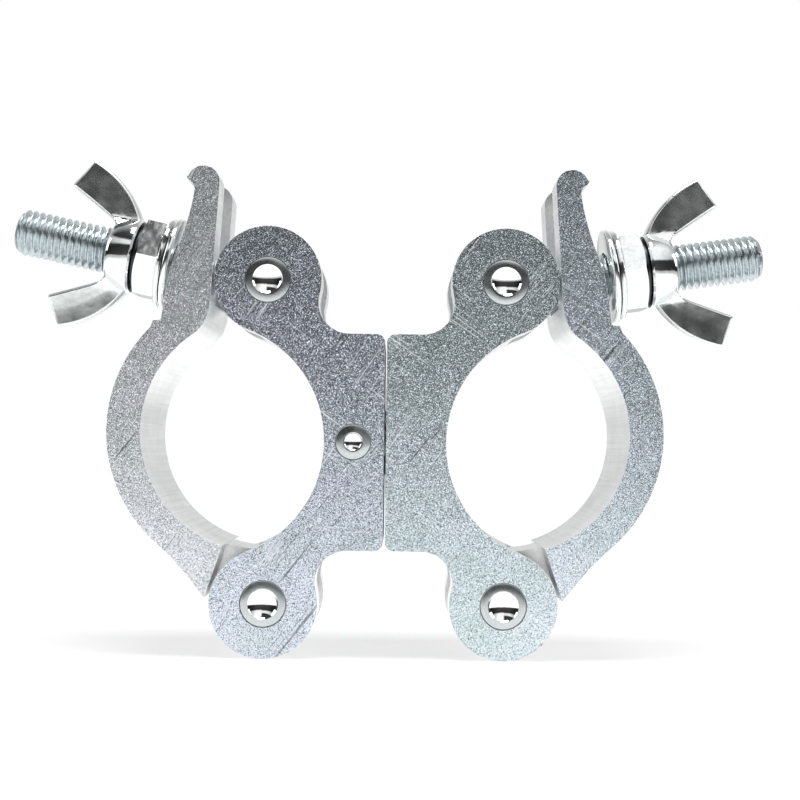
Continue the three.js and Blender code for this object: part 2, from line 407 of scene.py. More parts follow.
def cut_face_aluminium(name, shade, smoothest, roughest, seed):
    """Sawn, tumbled faces: tiny facets that each lean their own way, and thin random scratches."""
    material, tree, shader, where = new_metal(name)
    cells = add(
        tree,
        "ShaderNodeTexVoronoi",
        {"Vector": where, "Scale": FACETS_PER_METRE, "Randomness": 1.0},
        feature="F1",
    ).outputs["Color"]
    pits = noise(tree, where, 3200, 2.0, 0.7, seed=(3 + seed, 1, 2))
    cloud = noise(tree, where, 55, 3.0, 0.55, seed=(seed, seed, 0))
    dull = tuple(c * tint for c, tint in zip(shade, DULL_TINT))
    bright = tuple(c * tint for c, tint in zip(shade, BRIGHT_TINT))
    worn = ramp(tree, cloud, (0.3, dull), (0.7, bright))
    pitted = ramp(tree, pits, (0.34, 0.36), (0.46, 1.0))
    colour = blend(tree, 0.75, worn, pitted, "MULTIPLY")
    marks = 0.0
    for tilt, offset in ((-42, 0.11), (-33, 0.37), (55, 0.83)):
        marks = blend(tree, 1.0, marks, scratches(tree, where, tilt, offset + seed), "LIGHTEN")
    colour = blend(tree, scratches(tree, where, -38, seed + 2.7, 2200, 0.66), colour, (0.30, 0.32, 0.34))
    colour = blend(tree, marks, colour, (0.90, 0.92, 0.93))
    tree.links.new(colour, shader.inputs["Base Color"])
    tree.links.new(ramp(tree, marks, (0.0, 1.0), (1.0, 0.25)), shader.inputs["Metallic"])
    gloss = ramp(tree, pits, (0.3, roughest), (0.65, smoothest))
    tree.links.new(blend(tree, marks, gloss, (0.5, 0.5, 0.5)), shader.inputs["Roughness"])
    lean = add(
        tree,
        "ShaderNodeVectorMath",
        {0: cells, 1: (2.0, 2.0, 2.0), 2: (-1.0, -1.0, -1.0)},
        operation="MULTIPLY_ADD",
    ).outputs["Vector"]
    squared = add(tree, "ShaderNodeVectorMath", {0: lean, 1: lean}, operation="MULTIPLY").outputs["Vector"]
    cubed = add(tree, "ShaderNodeVectorMath", {0: squared, 1: lean}, operation="MULTIPLY").outputs["Vector"]
    normal = bump(tree, pits, 0.35, 0.00006)
    tilted = add(
        tree,
        "ShaderNodeVectorMath",
        {0: cubed, 1: (FACET_LEAN, FACET_LEAN, FACET_LEAN), 2: normal},
        operation="MULTIPLY_ADD",
    ).outputs["Vector"]
    unit = add(tree, "ShaderNodeVectorMath", {0: tilted}, operation="NORMALIZE").outputs["Vector"]
    tree.links.new(unit, shader.inputs["Normal"])
    return material


def extruded_aluminium():
    """Drawn sides of the extrusions: smooth, with faint die lines along the tube."""
    material, tree, shader, where = new_metal("aluminium_extruded")
    lines = noise(tree, where, 1.0, 3.0, 0.6, (1500, 25, 1500))
    cloud = noise(tree, where, 120, 2.0, 0.5)
    colour = ramp(tree, lines, (0.3, (0.82, 0.84, 0.84)), (0.7, (0.98, 0.98, 0.98)))
    shade = ramp(tree, cloud, (0.3, 0.9), (0.7, 1.0))
    tree.links.new(blend(tree, 1.0, colour, shade, "MULTIPLY"), shader.inputs["Base Color"])
    tree.links.new(ramp(tree, cloud, (0.3, 0.36), (0.7, 0.28)), shader.inputs["Roughness"])
    shader.inputs["Metallic"].default_value = 0.8
    tree.links.new(bump(tree, lines, 0.25, 0.00004), shader.inputs["Normal"])
    return material


def worn_edge_and_highlight_aluminium():
    """Rubbed edges, brighter and smoother than the faces, with a painted highlight in their pale colour."""
    material, tree, shader, where = new_metal("aluminium_worn_edge_and_highlight")
    nicks = noise(tree, where, 900, 2.0, 0.6)
    # pale base colour: part real rubbing, part painted highlight along the edges
    rubbed_and_highlight = ramp(tree, nicks, (0.35, (0.62, 0.64, 0.65)), (0.5, (0.92, 0.93, 0.93)))
    tree.links.new(rubbed_and_highlight, shader.inputs["Base Color"])
    shader.inputs["Metallic"].default_value = 0.45
    tree.links.new(ramp(tree, nicks, (0.35, 0.45), (0.6, 0.25)), shader.inputs["Roughness"])
    tree.links.new(bump(tree, nicks, 0.4, 0.00006), shader.inputs["Normal"])
    return material


def bright_zinc(name, base, rough, wave=0.35):
    """Bright plate over a forged or stamped skin: mirror-like with slow waves and fine pin marks."""
    material, tree, shader, where = new_metal(name)
    waves = noise(tree, where, 230, 2.0, 0.5)
    fine = noise(tree, where, 1800, 2.0, 0.6)
    tint = tuple(c * 0.93 for c in base)
    tree.links.new(ramp(tree, fine, (0.35, tint), (0.6, base)), shader.inputs["Base Color"])
    tree.links.new(ramp(tree, waves, (0.35, rough * 1.5), (0.65, rough)), shader.inputs["Roughness"])
    normal = bump(tree, waves, wave, 0.00025)
    normal = bump(tree, fine, 0.12, 0.00003, normal)
    tree.links.new(normal, shader.inputs["Normal"])
    return material


def thread_zinc():
    """Bluish plate on rolled thread, finely mottled, with patches of differing gloss."""
    material, tree, shader, where = new_metal("zinc_thread")
    fine = noise(tree, where, 1600, 3.0, 0.6)
    cloud = noise(tree, where, 200, 2.0, 0.5)
    colour = ramp(tree, fine, (0.3, (0.40, 0.46, 0.48)), (0.65, (0.60, 0.67, 0.69)))
    tree.links.new(colour, shader.inputs["Base Color"])
    tree.links.new(ramp(tree, cloud, (0.35, 0.36), (0.65, 0.24)), shader.inputs["Roughness"])
    tree.links.new(bump(tree, fine, 0.25, 0.00004), shader.inputs["Normal"])
    return material


def bearing_bronze():
    material, tree, shader, where = new_metal("bronze")
    grain = noise(tree, where, 1400, 3.0, 0.6)
    colour = ramp(tree, grain, (0.3, (0.50, 0.33, 0.16)), (0.7, (0.78, 0.58, 0.34)))
    tree.links.new(colour, shader.inputs["Base Color"])
    tree.links.new(ramp(tree, grain, (0.3, 0.5), (0.7, 0.36)), shader.inputs["Roughness"])
    tree.links.new(bump(tree, grain, 0.3, 0.00004), shader.inputs["Normal"])
    return material


SADDLE_FACE = {
    "left": cut_face_aluminium("aluminium_cut_face_a", (0.71, 0.77, 0.835), 0.16, 0.30, 0.0),
    "right": cut_face_aluminium("aluminium_cut_face_b", (0.72, 0.82, 0.84), 0.18, 0.32, 5.0),
}
JAW_FACE = {
    "left": cut_face_aluminium("aluminium_cut_face_c", (0.84, 0.89, 0.90), 0.24, 0.40, 9.0),
    "right": cut_face_aluminium("aluminium_cut_face_d", (0.78, 0.87, 0.92), 0.20, 0.34, 14.0),
}
EXTRUDED = extruded_aluminium()
WORN_EDGE_AND_HIGHLIGHT = worn_edge_and_highlight_aluminium()
NUT_PLATE = bright_zinc("zinc_bright", (0.84, 0.87, 0.87), 0.08)
# near-black plate for the groove between hexagon and hub: painted shade
GROOVE_PAINTED_SHADE = bright_zinc("zinc_groove_painted_shade", (0.07, 0.08, 0.08), 0.30, 0.3)
WING_PLATE = bright_zinc("zinc_wing", (0.78, 0.82, 0.81), 0.19, 0.35)
WASHER_PLATE = bright_zinc("zinc_washer", (0.86, 0.88, 0.88), 0.12, 0.2)
PIN_STEEL = bright_zinc("steel_pin", (0.56, 0.60, 0.60), 0.20, 0.1)
PIN_DISH = bright_zinc("steel_pin_dish", (0.90, 0.91, 0.90), 0.05, 0.08)
THREAD_PLATE = thread_zinc()
BRONZE = bearing_bronze()

# ---- aluminium parts ----


NEAR_FACE = 0.5
SQUARE_ON = 0.9
EDGE_ROUNDING = 0.3
ROUNDING_STEPS = 3
SHARPEST_SMOOTH = 28
# material slot of the bevels: worn edges that also carry a painted highlight
WORN_AND_HIGHLIGHT_EDGE_SLOT = 2


def mark_faces(made):
    """Cut faces take the first material, extruded sides and slot walls the second."""
    for face in made.data.polygons:
        outer = abs(face.center.y) > FACE_Y - NEAR_FACE
        face.material_index = 0 if outer and abs(face.normal.y) > SQUARE_ON else 1


HOLE_PLAY = 0.12
HOLE_LIP = 0.15
HOLE_FLARE = 1.6


def pin_hole(radius, end_radius):
    """The hole for a riveted pin, opened out at both faces where the pin's ends spread."""
    past = FACE_Y + 2
    wide = end_radius + HOLE_PLAY
    profile = [(0, -past), (wide, -past), (wide, -FACE_Y + HOLE_LIP)]
    profile.append((radius + HOLE_PLAY, -FACE_Y + HOLE_FLARE))
    mirrored = [(r, -y) for r, y in reversed(profile)]
    return turned(profile + mirrored, "y")


def saddle_outline():
    seat = Vector((SEAT.x, 0))
    pin = Vector((PIVOT.x, PIVOT.y))
    corner = (BACK_U + BACK_CORNER, BACK_HALF_HEIGHT - BACK_CORNER)
    fillet_v = BACK_HALF_HEIGHT + BACK_FILLET
    reach = math.sqrt((KNUCKLE_RADIUS + BACK_FILLET) ** 2 - (pin.y - fillet_v) ** 2)
    fillet = (pin.x - reach, fillet_v)
    to_knuckle = heading(fillet, pin)
    to_seat = heading(pin, seat)
    upper = [
        *arc(corner, BACK_CORNER, 180, 90, 12),
        *arc(fillet, BACK_FILLET, -90, to_knuckle, 7),
        *arc(pin, KNUCKLE_RADIUS, to_knuckle + 180, to_seat, 4),
    ]
    lower = [(p[0], -p[1]) for p in reversed(upper)]
    return [*upper, *arc(seat, TUBE_RADIUS, to_seat + 180, 180 - to_seat, 2.5), *lower]


SLOT_BACK_U = 7.6
THROUGH_U = 20
STUD_FIT = 0.15
BUSH_ROOM = 1.4
THRUST_ROOM = 0.2
THRUST_RECESS = 0.9
HEAD_ROOM = 0.25
COUNTERBORE_U = 5.9


def saddle(side):
    made = centred(saddle_outline(), 2 * FACE_Y)
    for up in (1, -1):
        slot = [(u, up * v) for u, v in rectangle(SLOT_BACK_U, SLOT_FLOOR_V, PIVOT.x + 20, PIVOT.y + 20)]
        cut(made, centred(slot, SLOT_WIDTH))
        cut(made, shift(pin_hole(PIN_RADIUS, PIN_END_RADIUS), PIVOT.x, 0, up * PIVOT.y))
    if side == "left":
        cross = CONTACT_X - centre_of("stud_cross_pin").x
        cut(made, rod(STUD_RADIUS + STUD_FIT, -1, THROUGH_U, "x"))
        cut(made, shift(pin_hole(CROSS_PIN_RADIUS, CROSS_PIN_END_RADIUS), cross))
    else:
        cut(made, rod(STUD_RADIUS + BUSH_ROOM, -1, THROUGH_U, "x"))
        cut(made, rod(THRUST_RADIUS + THRUST_ROOM, -1, BACK_U + THRUST_RECESS, "x"))
        cut(made, rod(STUD_HEAD_RADIUS + HEAD_ROOM, COUNTERBORE_U, THROUGH_U, "x"))
    mark_faces(made)
    soften(made, EDGE_ROUNDING, ROUNDING_STEPS, SHARPEST_SMOOTH, WORN_AND_HIGHLIGHT_EDGE_SLOT)
    return finish_piece(
        made,
        f"{side}_saddle_detail",
        f"{side}_half",
        [f"{side}_saddle"],
        (SADDLE_FACE[side], EXTRUDED, WORN_EDGE_AND_HIGHLIGHT),
        half_matrix(side),
    )


JAW_SEAT = Vector((26.0, 1.8))
JAW_BACK = Vector((26.9, 1.95))
JAW_BACK_RADIUS = 30.6
JAW_SEAT_LOW = -72.9
JAW_SEAT_HIGH = 55.5
JAW_FOOT = Vector((36.8, -32.3))
FORK_FLOOR_V = 28.8


def jaw_outline():
    return [
        *arc(JAW_SEAT, TUBE_RADIUS, JAW_SEAT_LOW, JAW_SEAT_HIGH, 2.5),
        *bend(polar(JAW_SEAT, TUBE_RADIUS, JAW_SEAT_HIGH), (36.85, 24.05), (36.5, 29.5), 8),
        *arc((38.35, 53.7), 3.38, 180, 22, 9),
        (41.9, 54.7),
        *bend((41.5, 54.0), (40.3, 53.5), (40.15, 52.2), 5),
        *bend((40.15, 52.2), (41.0, 45.9), (43.75, 39.1), 12),
        *bend((43.75, 39.1), (45.35, 34.9), (45.9, 31.0), 6),
        *bend((46.6, 25.2), (46.7, 24.75), (47.2, 24.75), 3),
        (48.3, 24.7),
        *arc(JAW_BACK, JAW_BACK_RADIUS, 44, -50, 2.5),
        *bend(polar(JAW_BACK, JAW_BACK_RADIUS, -50), (42.3, -25.1), JAW_FOOT, 8),
    ]


def tongue_outline():
    to_seat = heading(HINGE, JAW_SEAT)
    return [
        *arc(HINGE, TONGUE_RADIUS, to_seat, 325, 5),
        JAW_FOOT,
        (40, -24),
        *arc(JAW_SEAT, TUBE_RADIUS + 0.08, JAW_SEAT_LOW + 2.3, to_seat - 180, 2.5),
    ]


def jaw(side):
    made = centred(jaw_outline(), 2 * FACE_Y)
    join(made, centred(tongue_outline(), TONGUE_WIDTH))
    cut(made, centred(rectangle(30, FORK_FLOOR_V, 60, 70), SLOT_WIDTH))
    cut(made, shift(rod(PIN_RADIUS + 0.15, -FACE_Y, FACE_Y, "y"), HINGE.x, 0, HINGE.y))
    mark_faces(made)
    soften(made, EDGE_ROUNDING, ROUNDING_STEPS, SHARPEST_SMOOTH, WORN_AND_HIGHLIGHT_EDGE_SLOT)
    return finish_piece(
        made,
        f"{side}_jaw_detail",
        f"{side}_jaw",
        [f"{side}_jaw"],
        (JAW_FACE[side], EXTRUDED, WORN_EDGE_AND_HIGHLIGHT),
        half_matrix(side),
    )


# ---- pins ----


def riveted_pin(radius, end_radius, dimple_radius, depth):
    """A pin whose ends are spread into their countersinks round a ball-shaped dimple."""
    end = FACE_Y + PIN_PROUD
    ball = (dimple_radius**2 + depth**2) / (2 * depth)
    half_angle = math.degrees(math.asin(dimple_radius / ball))
    dish = [
        (ball * math.sin(math.radians(a)), end - depth + ball * (1 - math.cos(math.radians(a))))
        for a in [half_angle * i / 12 for i in range(13)]
    ]
    rim = [
        (dimple_radius + 0.12, end + 0.0),
        (end_radius - 0.45, end - 0.12),
        (end_radius - 0.12, end - 0.22),
        (end_radius, end - 0.4),
        (radius, end - 1.7),
    ]
    profile = [*dish, *rim]
    profile[0] = (0, profile[0][1])
    return turned([(r, -y) for r, y in profile] + list(reversed(profile)), "y", 96)


def mark_dish(made, dimple_radius):
    """The pressed dimples take the second, mirror-bright material."""
    for face in made.data.polygons:
        out = math.hypot(face.center.x, face.center.z)
        face.material_index = 1 if out < dimple_radius and abs(face.center.y) > FACE_Y - 3 else 0


def hinge_pin(side, name):
    made = riveted_pin(PIN_RADIUS, PIN_END_RADIUS, PIN_DIMPLE_RADIUS, PIN_DIMPLE_DEPTH)
    smooth(made, PIN_SHARP)
    mark_dish(made, PIN_DIMPLE_RADIUS)
    centre = centre_of(f"{side}_{name}")
    return finish_piece(
        made,
        f"{side}_{name}_detail",
        f"{side}_half",
        [f"{side}_{name}"],
        [PIN_STEEL, PIN_DISH],
        Matrix.Translation((centre.x, 0, centre.z)),
    )


# ---- swing bolt ----


def threaded_rod(start, end):
    """A closed rod with a helical thread.

    One pitch's profile is swept round, and each turn is stitched to the next.
    """
    sides = 60
    root = THREAD_RADIUS - THREAD_DEPTH
    profile = [(0.0, root), (0.16, root), (0.44, THREAD_RADIUS - 0.04), (0.50, THREAD_RADIUS)]
    profile += [(0.56, THREAD_RADIUS), (0.62, THREAD_RADIUS - 0.04), (0.90, root)]
    turns = math.ceil((end - start) / THREAD_PITCH) + 1
    bm = bmesh.new()
    rows = []
    for k in range(turns * sides + 1):
        a = 2 * math.pi * k / sides
        base = start + THREAD_PITCH * (k / sides - 1)
        rows.append(
            [
                bm.verts.new((base + THREAD_PITCH * s, r * math.cos(a), r * math.sin(a)))
                for s, r in profile
            ]
        )
    last = len(profile) - 1
    for k in range(len(rows) - 1):
        for p in range(last):
            bm.faces.new((rows[k][p], rows[k + 1][p], rows[k + 1][p + 1], rows[k][p + 1]))
        if k + sides + 1 < len(rows):
            bm.faces.new((rows[k][last], rows[k + 1][last], rows[k + sides + 1][0], rows[k + sides][0]))
    starting = [row[0] for row in rows[: sides + 1]] + list(reversed(rows[0][1:]))
    ending = [row[last] for row in rows[-sides - 1 :]] + list(reversed(rows[-1][:last]))
    for loop, station in ((starting, start - 2 * THREAD_PITCH), (ending, end + 2 * THREAD_PITCH)):
        hub = bm.verts.new((station, 0, 0))
        for i, v in enumerate(loop):
            w = loop[(i + 1) % len(loop)]
            bm.faces.new((v, w, hub))
    return temporary(bm)


def swing_bolt(side):
    tip = BOLT_LENGTH
    envelope = turned(
        [
            (0, PLAIN_END - 1.5),
            (THREAD_RADIUS + 0.5, PLAIN_END - 1.5),
            (THREAD_RADIUS + 0.5, tip - 1.9),
            (THREAD_RADIUS - 0.95, tip - 0.2),
            (THREAD_RADIUS - 1.25, tip),
            (0, tip),
        ],
        "x",
    )
    made = common(threaded_rod(PLAIN_END - 3, tip + 2), envelope)
    shank = turned(
        [
            (0, 0),
            (SHANK_RADIUS, 0),
            (SHANK_RADIUS, PLAIN_END - 0.8),
            (THREAD_RADIUS - THREAD_DEPTH, PLAIN_END + 0.4),
            (0, PLAIN_END + 0.4),
        ],
        "x",
    )
    eye = rod(EYE_RADIUS, -TONGUE_WIDTH / 2, TONGUE_WIDTH / 2, "y", 96)
    eye = common(eye, turned([(0, -11), (8.6, -11), (10.6, -4), (10.6, 4), (8.6, 11), (0, 11)], "y", 96))
    join(eye, shank)
    cut(eye, rod(PIN_RADIUS + 0.2, -FACE_Y, FACE_Y, "y"))
    soften(eye, 0.45, 3)
    join(made, eye)
    smooth(made, 32)
    return finish_piece(
        made,
        f"{side}_swing_bolt_detail",
        f"{side}_swing_bolt",
        [f"{side}_swing_bolt"],
        [THREAD_PLATE],
        bolt_matrix(side),
    )


# ---- washer and wing nut, with the washer's middle at the origin of the bolt frame ----

WASHER_THICKNESS = 1.4
WASHER_RADIUS = 10.2
NUT_START = WASHER_THICKNESS / 2 + 0.3
FLANGE_RADIUS = 9.8
HEX_ACROSS_FLATS = 16.0
HEX_START = NUT_START + 1.7
HUB_START = HEX_START + 5.1
HUB_END = HUB_START + 6.1
WING_THICKNESS = 4.2
BORE_RADIUS = THREAD_RADIUS + 0.12


def washer(side):
    half = WASHER_THICKNESS / 2
    made = turned(
        [
            (THREAD_RADIUS + 0.35, -half),
            (WASHER_RADIUS - 0.5, -half),
            (WASHER_RADIUS - 0.12, -half + 0.15),
            (WASHER_RADIUS, -half + 0.5),
            (WASHER_RADIUS, half - 0.5),
            (WASHER_RADIUS - 0.12, half - 0.15),
            (WASHER_RADIUS - 0.5, half),
            (THREAD_RADIUS + 0.35, half),
        ],
        "x",
        96,
    )
    smooth(made, 50)
    place = bolt_matrix(side) @ Matrix.Translation((bolt_station(side), 0, 0))
    return finish_piece(
        made,
        f"{side}_washer_detail",
        f"{side}_washer",
        [f"{side}_washer"],
        [WASHER_PLATE],
        place,
    )


WING_STEPS = 22
ROOT_STEPS = 4
WING_HOLLOW = 0.12
WING_FLARE = 4.6
FLARE_REACH = 0.17
WING_TAPER = 0.2
# the band between hexagon and hub that takes the painted groove shade
GROOVE_BACK = 0.75
GROOVE_FRONT = 0.3
GROOVE_RADIUS = 7.85
WING_ROOT_RADIUS = 8.3
WING_LEAN = {"left": (3.0, -5.0), "right": (-1.0, -3.0)}  # degrees, upper and lower wing


def wing(up, lean):
    """A forged wing, lofted from its root in the hub out to its square tip.

    Each station runs from the inner edge to the outer one, is as thick as the wing is there, and
    has rounded edges. Near the hub the wing flares out into it. Its plane leans a few degrees
    about the bolt's axis.
    """
    h = HUB_START
    inner = bend((HUB_END - 1.2, 3.4), (HUB_END - 0.2, 5.6), (HUB_END + 0.6, 6.6), ROOT_STEPS)
    inner += bend((HUB_END + 0.6, 6.6), (h + 10.8, 8.8), (h + 17.55, 12.2), WING_STEPS - ROOT_STEPS - 1)[1:]
    outer = bend((h + 0.5, 3.4), (h + 0.3, 5.6), (h + 0.4, 7.0), ROOT_STEPS)
    outer += bend((h + 0.4, 7.0), (h + 4.6, 15.6), (h + 13.9, 18.65), WING_STEPS - ROOT_STEPS - 1)[1:]
    bm = bmesh.new()
    rings = []
    for i, (a, b) in enumerate(zip(inner, outer)):
        along = i / (len(inner) - 1)
        flare = WING_FLARE * math.exp(-((along / FLARE_REACH) ** 2))
        half = WING_THICKNESS / 2 * (1.0 - WING_TAPER * along) + flare / 2
        rim = min(0.8, half * 0.4)
        reach = (b - a).length
        ring = []
        for corner_t, corner_y, start in ((reach - rim, half - rim, 0), (rim, half - rim, 90)):
            ring += arc((corner_t, corner_y), rim, start, start + 90, 22.5)
        hollow = [
            Vector((rim + (reach - 2 * rim) * f, half - WING_HOLLOW * math.sin(math.pi * f)))
            for f in (0.85, 0.7, 0.55, 0.45, 0.3, 0.15)
        ]
        ring = ring[: len(ring) // 2] + hollow + ring[len(ring) // 2 :]
        ring += [Vector((p.x, -p.y)) for p in reversed(ring)]
        spot = [a.lerp(b, p.x / reach) for p in ring]
        rings.append([bm.verts.new((q.x, p.y, up * q.y)) for p, q in zip(ring, spot)])
    count = len(rings[0])
    for first, second in zip(rings, rings[1:]):
        for i in range(count):
            j = (i + 1) % count
            bm.faces.new((first[i], first[j], second[j], second[i]))
    bm.faces.new(list(reversed(rings[0])))
    tip = bm.faces.new(rings[-1])
    bmesh.ops.recalc_face_normals(bm, faces=bm.faces)
    bmesh.ops.bevel(
        bm, geom=list(tip.edges), offset=0.55, segments=3, profile=0.5, affect="EDGES", clamp_overlap=True
    )
    bmesh.ops.rotate(bm, verts=bm.verts, cent=(0, 0, 0), matrix=Matrix.Rotation(math.radians(lean), 3, "X"))
    return temporary(bm, "wing")


def mark_wings(made):
    """The wings are duller than the turned hub and the hexagon; the groove between them gets painted shade.
    """
    for face in made.data.polygons:
        out = math.hypot(face.center.y, face.center.z)
        between = HUB_START - GROOVE_BACK < face.center.x < HUB_START + GROOVE_FRONT
        in_shaded_groove = between and out < GROOVE_RADIUS
        on_wing = face.center.x > HUB_START and out > WING_ROOT_RADIUS
        face.material_index = 1 if on_wing else 2 if in_shaded_groove else 0


def wing_nut(side):
    made = turned(
        [
            (0, NUT_START),
            (FLANGE_RADIUS - 0.35, NUT_START),
            (FLANGE_RADIUS, NUT_START + 0.3),
            (FLANGE_RADIUS - 0.02, NUT_START + 0.75),
            (FLANGE_RADIUS - 0.35, NUT_START + 1.1),
            (FLANGE_RADIUS - 1.0, NUT_START + 1.3),
            (HEX_ACROSS_FLATS / 2 - 0.4, HEX_START + 0.1),
            (HEX_ACROSS_FLATS / 2 - 1.3, HUB_START - 0.7),
            (HEX_ACROSS_FLATS / 2 - 1.3, HUB_START + 0.05),
            (7.8, HUB_START + 0.25),
            (8.12, HUB_START + 0.7),
            (8.05, HUB_START + 1.9),
            (7.75, HUB_START + 3.2),
            (7.25, HUB_START + 4.5),
            (6.75, HUB_END - 0.7),
            (6.35, HUB_END - 0.2),
            (5.9, HUB_END),
            (0, HUB_END),
        ],
        "x",
        96,
    )
    corner = HEX_ACROSS_FLATS / 2 / math.cos(math.radians(30))
    prism = rod(corner, NUT_START + 0.6, HUB_START - 0.65, "x", 6, 0.0)
    chamfer = turned(
        [
            (0, NUT_START),
            (corner + 0.5, NUT_START),
            (corner + 0.5, HUB_START - 1.35),
            (corner - 0.15, HUB_START - 1.2),
            (HEX_ACROSS_FLATS / 2 - 0.25, HUB_START - 0.65),
            (0, HUB_START - 0.65),
        ],
        "x",
        96,
    )
    upper, lower = WING_LEAN[side]
    join(made, common(prism, chamfer), wing(1, upper), wing(-1, lower))
    cut(made, turned(
        [
            (0, NUT_START - 1),
            (BORE_RADIUS + 0.7, NUT_START - 1),
            (BORE_RADIUS + 0.7, NUT_START),
            (BORE_RADIUS, NUT_START + 0.7),
            (BORE_RADIUS, HUB_END - 0.7),
            (BORE_RADIUS + 0.7, HUB_END),
            (BORE_RADIUS + 0.7, HUB_END + 1),
            (0, HUB_END + 1),
        ],
        "x",
        96,
    ))
    mark_wings(made)
    soften(made, 0.22, 3, 30)
    place = bolt_matrix(side) @ Matrix.Translation((bolt_station(side), 0, 0))
    return finish_piece(
        made,
        f"{side}_wing_nut_detail",
        f"{side}_wing_nut",
        [f"{side}_wing_nut"],
        [NUT_PLATE, WING_PLATE, GROOVE_PAINTED_SHADE],
        place,
    )


# ---- swivel ----


def on_axis():
    return Matrix.Translation((CONTACT_X, 0, SWIVEL.z))


def stations(node):
    """Where a turned swivel piece starts and ends, out from the contact plane."""
    low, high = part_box(node)
    return low.x / MM - CONTACT_X, high.x / MM - CONTACT_X


def swivel_piece(made, node, body, slot, *materials):
    return finish_piece(made, f"{node}_detail", body, [node], materials, on_axis())


def swivel_stud():
    start, end = stations("swivel_stud")
    head = end - 3.9
    made = turned(
        [
            (0, start + 0.5),
            (2.2, start + 0.5),
            (2.8, start),
            (STUD_RADIUS - 0.9, start),
            (STUD_RADIUS - 0.3, start + 0.25),
            (STUD_RADIUS, start + 0.9),
            (STUD_RADIUS, head),
            (STUD_HEAD_RADIUS - 0.2, head),
            (STUD_HEAD_RADIUS, head + 0.2),
            (STUD_HEAD_RADIUS, end - 1.1),
            (STUD_HEAD_RADIUS - 0.3, end - 0.4),
            (STUD_HEAD_RADIUS - 1.1, end),
            (2.8, end),
            (2.2, end - 0.5),
            (0, end - 0.5),
        ],
        "x",
        96,
    )
    cross = centre_of("stud_cross_pin").x - CONTACT_X
    cut(made, shift(rod(CROSS_PIN_RADIUS + 0.15, -FACE_Y, FACE_Y, "y"), cross))
    smooth(made, 40)
    return swivel_piece(made, "swivel_stud", "left_half", "pin_steel", PIN_STEEL)


def stud_cross_pin():
    made = riveted_pin(
        CROSS_PIN_RADIUS, CROSS_PIN_END_RADIUS, CROSS_PIN_DIMPLE_RADIUS, CROSS_PIN_DIMPLE_DEPTH
    )
    smooth(made, PIN_SHARP)
    mark_dish(made, CROSS_PIN_DIMPLE_RADIUS)
    shift(made, centre_of("stud_cross_pin").x - CONTACT_X)
    return swivel_piece(made, "stud_cross_pin", "left_half", "pin_steel", PIN_STEEL, PIN_DISH)


def swivel_ring(node, inner, outer, slot, material, edge=0.2):
    start, end = stations(node)
    made = turned(
        [
            (inner, start + edge),
            (inner + edge, start),
            (outer - edge, start),
            (outer, start + edge),
            (outer, end - edge),
            (outer - edge, end),
            (inner + edge, end),
            (inner, end - edge),
        ],
        "x",
        96,
    )
    smooth(made, 30)
    return swivel_piece(made, node, "right_half", slot, material)


# ---- the clamp ----

for side_name in SIDES:
    saddle(side_name)
    jaw(side_name)
    hinge_pin(side_name, "bolt_pivot_pin")
    hinge_pin(side_name, "jaw_hinge_pin")
    swing_bolt(side_name)
    washer(side_name)
    wing_nut(side_name)

swivel_stud()
stud_cross_pin()
swivel_ring("swivel_bush", STUD_RADIUS + 0.3, STUD_RADIUS + 1.3, "bronze", BRONZE)
swivel_ring("swivel_thrust_washer", STUD_RADIUS + 0.3, THRUST_RADIUS, "bronze", BRONZE, 0.12)
swivel_ring("swivel_head_washer", STUD_RADIUS + 0.3, STUD_HEAD_RADIUS, "bright_zinc", WASHER_PLATE)

# ---- studio ----

FLOOR_HALF = 4.0


def floor():
    """A white paper sweep that partly glows, and fades into the white behind it a little way from the
    clamp.
    """
    bm = bmesh.new()
    bmesh.ops.create_grid(bm, x_segments=8, y_segments=8, size=FLOOR_HALF)
    made = temporary(bm, "floor")
    material = bpy.data.materials.new("paper_sweep_and_glow")
    material.use_nodes = True
    tree = material.node_tree
    shader = tree.nodes["Principled BSDF"]
    where = add(tree, "ShaderNodeTexCoord").outputs["Object"]
    fibres = noise(tree, where, 900, 3.0, 0.6)
    tree.links.new(ramp(tree, fibres, (0.3, 0.90), (0.7, 0.93)), shader.inputs["Base Color"])
    shader.inputs["Roughness"].default_value = 0.9
    shader.inputs["Specular IOR Level"].default_value = 0.1
    away = add(tree, "ShaderNodeVectorMath", {0: where}, operation="LENGTH").outputs["Value"]
    # painted light: off camera the floor glows brighter near the clamp than far from it
    reflected_glow = add(
        tree,
        "ShaderNodeMapRange",
        {"Value": away, "From Min": 0.3, "From Max": 0.8, "To Min": 1.5, "To Max": 0.6},
    )
    seen = add(tree, "ShaderNodeLightPath").outputs["Is Camera Ray"]
    strength = blend(tree, seen, reflected_glow.outputs["Result"], 1.1)
    glow = add(tree, "ShaderNodeEmission", {"Color": (1, 1, 1, 1), "Strength": strength})
    # painted light: beside the clamp the floor is half glow, which lifts the clamp's shadow
    fade = add(
        tree,
        "ShaderNodeMapRange",
        {"Value": away, "From Min": 0.1, "From Max": 0.45, "To Min": 0.5, "To Max": 1.0},
        interpolation_type="SMOOTHSTEP",
    )
    mix = add(
        tree,
        "ShaderNodeMixShader",
        {0: fade.outputs["Result"], 1: shader.outputs["BSDF"], 2: glow.outputs["Emission"]},
    )
    tree.links.new(mix.outputs["Shader"], tree.nodes["Material Output"].inputs["Surface"])
    made.data.materials.append(material)


CLAMP_MIDDLE = (0, 0, 0.05)


def soft_light(name, place, size, power):
    data = bpy.data.lights.new(name, "AREA")
    data.shape = "RECTANGLE"
    data.size, data.size_y = size
    data.energy = power
    made = bpy.data.objects.new(name, data)
    made.location = place
    made.rotation_mode = "QUATERNION"
    made.rotation_quaternion = (Vector(CLAMP_MIDDLE) - Vector(place)).to_track_quat("-Z", "Y")
    bpy.context.scene.collection.objects.link(made)


